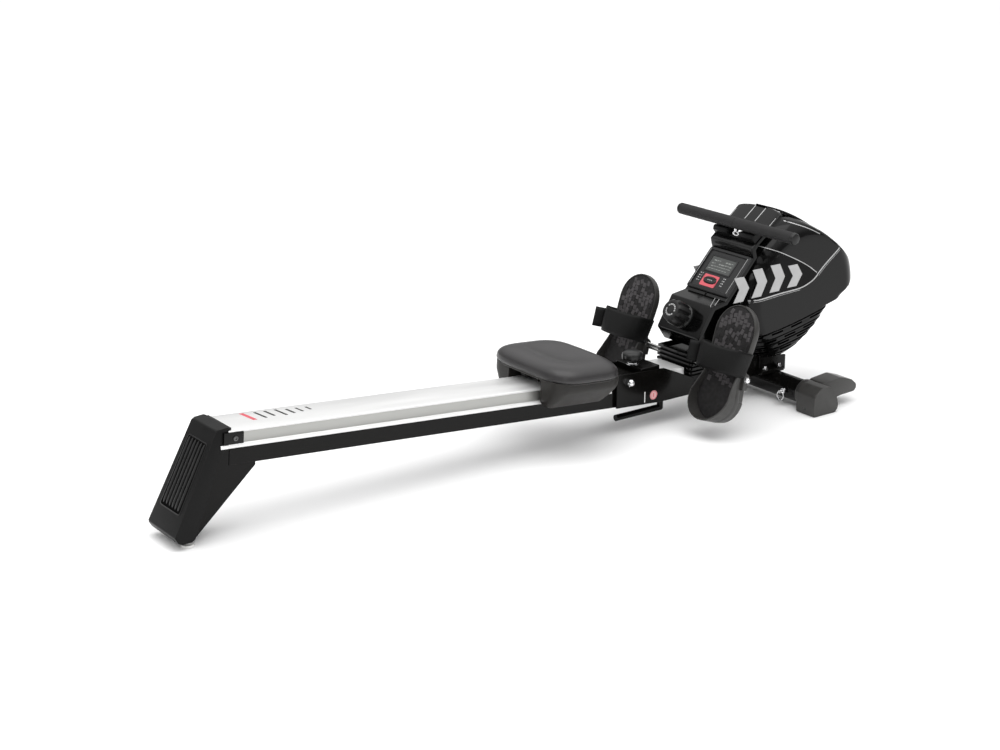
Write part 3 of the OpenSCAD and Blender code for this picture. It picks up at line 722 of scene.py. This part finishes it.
def build_shroud():
    """Stack of boards round the post, under the knob's box"""
    bm = bmesh.new()
    lines = []
    for k in range(5):
        z = 117 + k * 10.8
        outer = rounded([(1371 + k, -66), (1500, -66), (1500, 66), (1371 + k, 66)], [10, 1, 1, 10])
        inner = rounded([(1377 + k, -60), (1496, -60), (1496, 60), (1377 + k, 60)], [7, 1, 1, 7])
        lines += [(inner, z - 0.6), (outer, z + 0.8), (outer, z + 5), (inner, z + 6.4)]
    loft(bm, [[(*p, h) for p in line] for line, h in lines], caps=False)
    shroud = piece("shroud_boards", bm, WORLD, "frame", "gloss_black", ["lower_shroud"])
    thicken(shroud, 2)


# ---- rail and rear leg ----
def build_rail():
    bm = bmesh.new()
    half = [(57, -3.2), (56.9, -4.2), (55.4, -5.2), (55.2, -6), (55.2, -27), (55.6, -28.2), (57, -29.2), (57.2, -30),
            (57.2, -37), (56.4, -38), (44, -38), (44, -36)]
    half = [(53.6, 0), (55.2, -0.3), (56.3, -1.2)] + half
    outline = half + [(-y, z) for y, z in reversed(half)]
    rows = [[(along(x), y, z) for y, z in outline] for x in (104, 104.4, 600, 1131.6, 1132)]
    loft(bm, rows)
    for f in bm.faces:
        middle = f.calc_center_median()
        if abs(middle.y) > 54 and -28.4 < middle.z < -4.4:
            f.material_index = 1
    piece("rail_extrusion", bm, RAIL, "rail", ["alu_rail", "alu_side"], ["rail_profile"])
    # plain marks where the real rail carries its print
    bm = bmesh.new()
    for k in range(7):
        x = 183 + (0, 32, 56, 82, 106, 130, 154)[k]
        wide = (10, 6, 6, 6, 6, 5, 5)[k]
        y0, y1 = ((-6, 46), (-2, 42), (4, 42), (-2, 42), (4, 36), (8, 36), (14, 34))[k]
        slant = (y1 - y0) * 0.12
        rows = [[(along(x + slant), y0, h), (along(x + slant + wide), y0, h), (along(x + wide), y1, h),
                 (along(x), y1, h)] for h in (-0.3, 0.3)]
        loft(bm, rows, material=0 if k else 1)
    piece("rail_marks", bm, RAIL, "rail", ["knob_plastic", "button_red"])


def build_rail_end():
    """Plates that close the rail's rear end, each with a sunk socket screw"""
    bm = bmesh.new()
    for side in (1, -1):
        outline = rounded([(along(92), -2.6), (along(138), -2.6), (along(138), -28.4), (along(92), -28.4)], 1.2, 3)
        prism(bm, outline, *mirrored(55.4, 59.6, side), bevel=0.5, steps=2)
    block(bm, (along(102.7), -54, -36), (along(103.9), 54, -2), 0.3, 1)
    piece("rail_end_plates", bm, RAIL, "rail", "gloss_black", ["rail_end_plate"])
    bm = bmesh.new()
    for side in (1, -1):
        outline = rounded([(along(86), -30), (along(104.2), -30), (along(104.2), -38), (along(87), -38)], 0.4, 2)
        prism(bm, outline, *mirrored(44, 57.2, side), bevel=0.3, steps=1)
    piece("rail_lip_ends", bm, RAIL, "rail", "alu_rail")
    # plates that join the beam to the leg
    bm = bmesh.new()
    for side in (1, -1):
        outline = rounded([(82, 200.6), (171, 193.6), (171, 143.2), (24, 12.5), (4, 14), (44, 110)], 1, 2)
        prism(bm, outline, *mirrored(39, 41.4, side), bevel=0.5, steps=1)
    piece("leg_gussets", bm, WORLD, "rail", "black_steel")
    bm = bmesh.new()
    for side in (1, -1):
        place = Matrix.Translation((along(118.4), 0, -16)) @ Matrix.Diagonal((1, side, 1, 1)) @ TO_Y
        lathe(bm, [(5.8, 59.4), (6, 60), (5.6, 61.6), (4.6, 62), (3, 62), (2.8, 60.4), (0, 60.4)], where=place,
              count=32)
    piece("rail_end_screws", bm, RAIL, "rail", "dark_steel", ["rail_screws"])


def build_rear_cover():
    bm = bmesh.new()
    outline = rounded([(-34, 31), (-24, 14), (10, 14), (47, 96), (85, 193), (107.5, 231), (107.5, 243), (77, 241)],
                      [4, 6, 8, 30, 30, 8, 4, 7], 5)
    prism(bm, outline, -53.5, 53.5, bevel=3.4, steps=3)
    for v in bm.verts:
        v.co.y *= 1 + 0.17 * (241 - v.co.z) / 227
    cover = piece("rear_cover_shell", bm, WORLD, "rail", "black_plastic", ["rear_cover"], smooth=32)
    cut = bmesh.new()
    inner = [(-14, 17), (8.5, 10), (48, 100), (88, 194), (103, 221), (103, 238), (79, 236)]
    prism(cut, inner, -49.5, 49.5)
    carve(cover, cut, WORLD)
    # raised field of long ribs between grooves; the ribs are a lighter plastic than the cover, a painted highlight,
    # and the grooves under them are near-black, a painted shade
    bm = bmesh.new()
    for k in range(6):
        y = -32.5 + 13 * k
        rows = []
        for u, half, rise in ((52, 1, 0.3), (55, 3, 1.4), (62, 4.2, 2.0), (190, 4.0, 2.0), (198, 3, 1.4),
                              (201, 1, 0.3)):
            rows.append([(u, y - half, -1), (u, y - half * 0.8, rise * 0.7), (u, y, rise),
                         (u, y + half * 0.8, rise * 0.7), (u, y + half, -1)])
        loft(bm, rows)
    block(bm, (47, -42, -1), (202, 42, 0.15), 0.1, 1, material=1)
    piece("rear_cover_ribs", bm, REAR_FACE, "rail", ["knob_plastic", "painted_shade_black"])
    # rim round the rib field in the lighter plastic: a painted highlight along its edge
    bm = bmesh.new()
    frame_out = rounded([(44, -45), (205, -42), (205, 42), (44, 45)], 9)
    frame_in = rounded([(46.5, -42.5), (203, -39.8), (203, 39.8), (46.5, 42.5)], 7)
    loft(bm, [[(*p, h) for p in line] for line, h in ((frame_out, -1), (frame_out, 0.5), (frame_in, 0.9),
                                                      (frame_in, -1))], caps=False)
    piece("rear_cover_edge", bm, REAR_FACE, "rail", "knob_plastic")


# ---- seat ----
def seat_outline(s, a):
    """Place on the seat at a share s of the way to its rim, in the direction a"""
    c, n = cos(a), sin(a)
    power = 2 / 4.6
    x = 102 * copysign(abs(c) ** power, c)
    y = 145 * copysign(abs(n) ** power, n)
    return s * x * (1 - 0.06 * (y / 145) ** 4), s * y


def seat_height(x, y, s):
    shoulder = (max(0, 1 - s ** 4.5)) ** 0.5
    dish = -11 * exp(-((x + 6) / 46) ** 2 - (y / 84) ** 4)
    ridge = 4.0 * exp(-((x - 60) / 16) ** 2) * max(0, 1 - (y / 100) ** 2)
    nose = -3 * exp(-((x + 84) / 24) ** 2) * exp(-(y / 60) ** 2)
    return 38 + (30.5 + dish + ridge + nose) * shoulder


def build_seat():
    bm = bmesh.new()
    count = 96
    rows = []
    shares = [0.02] + [0.06 * k for k in range(1, 14)] + [0.82, 0.86, 0.9, 0.93, 0.955, 0.975, 0.988, 0.996, 1.0]
    for s in shares:
        row = []
        for k in range(count):
            x, y = seat_outline(s, tau * k / count)
            row.append((x, y, seat_height(x, y, s)))
        rows.append(row)
    for s, h in ((1.006, 35), (1.002, 32), (0.99, 29.6), (0.975, 28.6), (0.965, 27.2), (0.9, 27), (0.02, 27)):
        rows.append([(*seat_outline(s, tau * k / count), h) for k in range(count)])
    loft(bm, rows)
    where = RAIL @ Matrix.Translation((along(SEAT_X), 0, 0))
    cushion = piece("seat_pad", bm, where, "seat", "seat_foam", ["seat_cushion"], smooth=50)
    # moulded tray under the pad, with a skirt down each side of the rail
    bm = bmesh.new()
    rows = []
    for s, h in ((0.55, 22.2), (0.94, 22.2), (0.955, 23.5), (0.962, 25.5), (0.958, 26.9), (0.55, 26.9)):
        rows.append([(*seat_outline(s, tau * k / count), h) for k in range(count)])
    loft(bm, rows)
    piece("seat_tray", bm, where, "seat", "carriage_plastic", smooth=40)
    bm = bmesh.new()
    for side in (1, -1):
        rows = []
        for k in range(13):
            t = k / 12
            h = 27.4 - 67.4 * t
            fall = max(0, t - 0.3) / 0.7
            front = 98 - 26 * t ** 2.6
            rear = -93 + 10 * max(0, t - 0.82) / 0.18
            outer = 131 - 41 * fall ** 1.15
            points = [(rear, 62.2), (front, 62.2), (front, outer), (rear, outer)]
            corners = [0.5, 0.5, 44 - 32 * fall, 36 - 28 * fall]
            rows.append([(p.x, side * p.y, h) for p in rounded(points, corners, 6)])
        loft(bm, rows)
    for x in (-60, 60):
        for side in (1, -1):
            low, high = mirrored(20, 24, side)
            block(bm, (x - 12, low, 6), (x + 12, high, 23), 1, 2)
    piece("seat_skirts", bm, where, "seat", "carriage_plastic", ["seat_carriage"])


# ---- footplates ----
def plate_outline(inset, top=PLATE_TOP):
    """Plate with round ends and a waist at the axle, smaller than the whole by inset all round"""
    out = []
    steps = 16
    half, waist = PLATE_HALF - inset, 11
    high, low = top - PLATE_HALF, PLATE_LOW + PLATE_HALF
    for k in range(steps + 1):
        a = -pi / 2 + pi * k / steps
        out.append(Vector((high + half * cos(a), half * sin(a))))
    sides = [high + (low - high) * k / 12 for k in range(1, 12)]
    for u in sides:
        out.append(Vector((u, half - waist * pinch(u))))
    for k in range(steps + 1):
        a = pi / 2 + pi * k / steps
        out.append(Vector((low + (half - 2) * cos(a), half * sin(a))))
    for u in reversed(sides):
        out.append(Vector((u, waist * pinch(u) - half)))
    return out


def pinch(u):
    """How far the waist is drawn in at a height on the plate, from 0 to 1"""
    return exp(-((u - 4) / 46) ** 2)


def build_foot(side):
    name = NAMES[side]
    body = "footplate_" + name
    bm = bmesh.new()
    plate = [(4, 8), (1, 9), (0, 12), (0, 23), (0.8, 25.2), (2.4, 25.4), (3.4, 24.4), (4, 21.8)]
    loft(bm, [[(*p, w) for p in plate_outline(g)] for g, w in plate])
    cup = [(9, -8), (4, -7.2), (1.6, -4), (0.8, 10)]
    loft(bm, [[(*p, w) for p in plate_outline(g, 42)] for g, w in cup])
    # wall round the heel, highest at its end
    heel = [p for p in plate_outline(0) if p.x < 18]
    ordered = [p for p in heel if p.y >= 0] + [p for p in heel if p.y < 0]
    sections = []
    for i, p in enumerate(ordered):
        ahead = heading(ordered, i)
        out = Vector((ahead.y, -ahead.x))
        h = 38 * min(1, max(0.01, (18 - p.x) / 142)) ** 0.85
        sections.append([(*(p + out * d), w) for d, w in (
            (-0.4, 20), (0.5, 22 + h * 0.5), (0.8, 23 + h), (-0.6, 24.4 + h), (-3, 24.2 + h), (-4, 22 + h * 0.5),
            (-4.6, 21))])
    loft(bm, sections)
    lathe(bm, [(9, -54.8), (15, -54.8), (15, 54.8), (9, 54.8)], where=TO_Y, count=36)
    piece(f"footplate_{name}_shell", bm, FOOT[side], body, "cap_plastic", [body], smooth=32)
    # sole: mat with low raised patches of uneven height
    bm = bmesh.new()
    loft(bm, [[(*p, w) for p in plate_outline(g)] for g, w in ((5, 21.9), (5, 24.2), (6, 25.0))])
    shuffle = random.Random(11 + side)
    for i in range(20):
        for j in range(9):
            u = -106 + 13.6 * i + (3.4 if j % 2 else -3.4)
            y = -50 + 12.5 * j
            edge = 57 - 11 * pinch(u)
            end = max(0, u - 103)
            if u < -26 or hypot(end, y) > edge - 3:
                continue
            rise = shuffle.choice((0.2, 0.7, 1.3, 1.6))
            a, b = 6.4 + shuffle.uniform(-1.2, 0.4), 5.9 + shuffle.uniform(-1, 0.4)
            turn = Matrix.Translation((u, y, 0)) @ Matrix.Rotation(shuffle.uniform(-0.4, 0.4), 4, "Z")
            block(bm, (-a, -b, 23.5), (a, b, 25 + rise), 0.6, 1, where=turn, material=shuffle.choice((0, 1, 1)))
    piece(f"sole_{name}", bm, FOOT[side], body, ["rubber", "patch_rubber"], [f"sole_pad_{name}"], smooth=30)
    # strap: one band over the foot, and its loose end doubled back
    bm = bmesh.new()
    steps, wide = 30, 9
    rows = []
    for i in range(wide + 1):
        t = i / wide
        u = 2 + 62 * t
        row = []
        for k in range(steps + 1):
            a = pi * k / steps
            bulge = 51 + 2 * sin(pi * t) - 5 * t * sin(a)
            half = 59 + 8.5 * t
            y = half * copysign(abs(cos(a)) ** 0.6, cos(a))
            row.append((u + 1.5 * sin(3 * a), y, 27 + bulge * sin(a) ** 0.62 * (1 + 0.07 * cos(a))))
        row = [(u, half - 1.6, 9)] + [(u, half - 0.6, 18)] + row + [(u, 0.6 - half, 18)] + [(u, 1.6 - half, 9)]
        rows.append(row)
    loft(bm, rows, closed=False, caps=False)
    strap = piece(f"foot_band_{name}", bm, FOOT[side], body, "webbing", [f"foot_strap_{name}"], smooth=60, weld=0)
    thicken(strap, 2.6, 0)
    bm = bmesh.new()
    loft(bm, [[(u - 3 * t, 63 + u * 0.09 + 2 * t + 15 * t * t, 52 + 20 * t + 4 * t * t)
               for t in (k / 8 for k in range(9))] for u in range(8, 59, 10)], closed=False, caps=False)
    flap = piece(f"foot_band_end_{name}", bm, FOOT[side], body, "webbing", smooth=60, weld=0)
    thicken(flap, 2.4, 0)


# ---- front stabiliser ----
def build_cap(side):
    name = "cap_" + NAMES[side]
    tube = spot_mm(1677, 38, side)
    bore = [(30.1, 150), (30.1, 206)]
    bm = bmesh.new()
    outline = rounded([(1633, 0), (1706, 0), (1719, 12), (1710, 44), (1686, 72), (1655, 72), (1633, 54)],
                      [4, 6, 8, 26, 18, 20, 12], 5)
    prism(bm, outline, *mirrored(175, 238, side), bevel=9, steps=4)
    cap = piece(name + "_block", bm, WORLD, "frame", "cap_plastic", [name], smooth=40)
    cut = bmesh.new()
    lathe(cut, bore, where=tube, count=48)
    carve(cap, cut, WORLD)
    bm = bmesh.new()
    outline = rounded([(1692, 26), (1806, 30), (1812, 46), (1792, 63), (1752, 76), (1690, 70)],
                      [2, 8, 8, 24, 26, 8], 5)
    prism(bm, outline, *mirrored(158.5, 209, side), bevel=5, steps=3)
    fin = piece(name + "_guard", bm, WORLD, "frame", "cap_plastic", smooth=40)
    cut = bmesh.new()
    prism(cut, [(1727, 10), (1790, 10), (1804, 30), (1790, 55), (1748, 69), (1727, 66)],
          *mirrored(162.5, 205, side))
    carve(fin, cut, WORLD)
    cut = bmesh.new()
    lathe(cut, bore, where=tube, count=48)
    carve(fin, cut, WORLD)
    bm = bmesh.new()
    lathe(bm, [(31, 156), (33, 157), (34, 160), (34, 172), (33, 177), (31, 177)], where=tube, count=48)
    piece(name + "_collar", bm, WORLD, "frame", "cap_plastic")


def spot_mm(x, z, side):
    """Turns the third axis outwards across the machine, at a place in millimetres"""
    return Matrix.Translation((x, 0, z)) @ Matrix.Diagonal((1, side, 1, 1)) @ TO_Y


def build_lock_knob():
    bm = bmesh.new()

    def lobes(a, row):
        return 1 - (0.07 * max(0, cos(a * 6)) if 4 <= row <= 9 else 0)

    lathe(bm, [(6, -27), (6, -4), (13, -3), (13.4, -1.2), (22, 0.4), (25, 3), (26, 8), (25.8, 13), (24.6, 17),
               (21, 20.4), (14, 22.4), (0, 23)], count=96, ripple=lobes)
    where = spot(1240, 164.8)
    piece("lock_knob_cap", bm, where, "lock_knob", "knob_plastic", ["lock_knob"], smooth=34)
    bm = bmesh.new()
    lathe(bm, [(6.2, -9.6), (11, -9.6), (11.6, -8), (11.6, -4.4), (9, -3.4), (6.2, -3.4)], count=6)
    lathe(bm, [(6.1, -10.4), (15, -10.4), (15.4, -9.9), (15, -9.4), (6.1, -9.4)], count=40)
    piece("lock_knob_nut", bm, where, "frame", "chrome")


def build_fold_marks():
    bm = bmesh.new()
    pin = spot_mm(1266, 82.7, -1)
    lathe(bm, [(0, 51.8), (11.5, 51.8), (11.5, 52.35), (10.9, 52.5), (0, 52.5)], where=pin, count=40)
    turns = [tau * k / 40 for k in range(40)]
    rows = [[pin @ Vector((r * cos(a), r * sin(a), h)) for a in turns]
            for r, h in ((9.2, 52.3), (9.2, 52.7), (10.6, 52.7), (10.6, 52.3))]
    loft(bm, rows + rows[:1], caps=False, material=1)
    block(bm, (1264.8, -52.8, 77.5), (1267.2, -52.2, 88), 0.2, 1, material=1)
    block(bm, (1236.5, -52.5, 69), (1239.5, -51.8, 96), 0.2, 1, material=2)
    piece("fold_marks", bm, WORLD, "frame", ["mark_pink", "button_red", "mark_white"])


# ---- CAD nodes that stay in view: soft edges and a finish each ----
EDGES = {"rail_beam": 2.5, "rear_leg": 1.2, "front_beam": 3, "fold_plate_left": 1, "fold_plate_right": 1,
         "fold_block": 1.5, "rail_stub": 2, "stabiliser_tube": 0.6, "stabiliser_saddle": 1, "rear_feet": 1,
         "rail_end_plate": 0.6, "wheel_left": 1.5, "wheel_right": 1.5, "l_pin": 0.8, "rail_screws": 0.5,
         "frame_bolts": 0.5, "rail_stops": 1, "pull_pin": 0.4}


def finish_cad():
    for name, obj in NODES.items():
        if obj.hide_render:
            continue
        slot = SLOT_OF[name]
        obj.data.materials.clear()
        obj.data.materials.append(MATERIALS[slot])
        for polygon in obj.data.polygons:
            polygon.use_smooth = True
        weld = obj.modifiers.new("weld", "WELD")
        weld.merge_threshold = 0.00002
        bevel = obj.modifiers.new("soft_edges", "BEVEL")
        bevel.width = EDGES.get(name, 0.3) * MM
        bevel.segments = 3
        bevel.limit_method = "ANGLE"
        bevel.angle_limit = radians(32)
        normals = obj.modifiers.new("normals", "WEIGHTED_NORMAL")
        normals.weight = 80


# ---- camera, light and floor ----
def make_camera():
    data = bpy.data.cameras.new("camera")
    data.sensor_width = 36
    data.lens = 67.82
    cam = bpy.data.objects.new("camera", data)
    bpy.context.collection.objects.link(cam)
    cam.location = (REAR_X - 1.6111, -3.3443, 1.547)
    cam.rotation_euler = (radians(90 - 17.974), 0, -0.63245)
    bpy.context.scene.camera = cam


def make_floor():
    bpy.ops.mesh.primitive_plane_add(size=60, location=(0, 0, -0.0005))
    floor = bpy.context.object
    floor.name = "floor"
    mat = bpy.data.materials.new("floor_white")
    mat.use_nodes = True
    put(mat.node_tree.nodes["Principled BSDF"], Base_Color=(0.95, 0.95, 0.95, 1), Roughness=0.9)
    floor.data.materials.append(mat)


def add_area(name, place, target, size, power):
    data = bpy.data.lights.new(name, "AREA")
    data.shape = "RECTANGLE"
    data.size, data.size_y = size
    data.energy = power
    lamp = bpy.data.objects.new(name, data)
    bpy.context.collection.objects.link(lamp)
    lamp.location = place
    lamp.rotation_euler = (Vector(target) - Vector(place)).to_track_quat("-Z", "Y").to_euler()


def make_lights():
    world = bpy.data.worlds.new("studio")
    world.use_nodes = True
    tree = world.node_tree
    background = tree.nodes["Background"]
    background.inputs["Strength"].default_value = 1.35
    coords = tree.nodes.new("ShaderNodeTexCoord")
    split = tree.nodes.new("ShaderNodeSeparateXYZ")
    ramp = tree.nodes.new("ShaderNodeValToRGB")
    # a bright ceiling over darker walls, so that upright black faces stay black
    stops = ((0.0, 0.22), (0.3, 0.3), (0.6, 0.9), (1.0, 1.0))
    while len(ramp.color_ramp.elements) < len(stops):
        ramp.color_ramp.elements.new(0.5)
    for element, (place, level) in zip(ramp.color_ramp.elements, stops):
        element.position = place
        element.color = (level, level, level, 1)
    tree.links.new(coords.outputs["Generated"], split.inputs["Vector"])
    tree.links.new(split.outputs["Z"], ramp.inputs["Fac"])
    tree.links.new(ramp.outputs["Color"], background.inputs["Color"])
    bpy.context.scene.world = world
    add_area("overhead", (-0.3, -0.4, 3.4), (0, 0, 0.1), (4.5, 3), 70)
    add_area("side", (-2.6, -3.2, 1.9), (0.2, 0, 0.2), (1.6, 0.8), 9)


for side in (1, -1):
    build_shell(side)
    build_graphics(side)
    build_foot(side)
    build_cap(side)
build_spine()
build_console()
build_monitor()
build_knob()
build_handle()
build_rests()
build_shroud()
build_rail()
build_rail_end()
build_rear_cover()
build_seat()
build_lock_knob()
build_fold_marks()
finish_cad()
make_camera()
make_floor()
make_lights()
bpy.context.scene.view_settings.view_transform = "Standard"
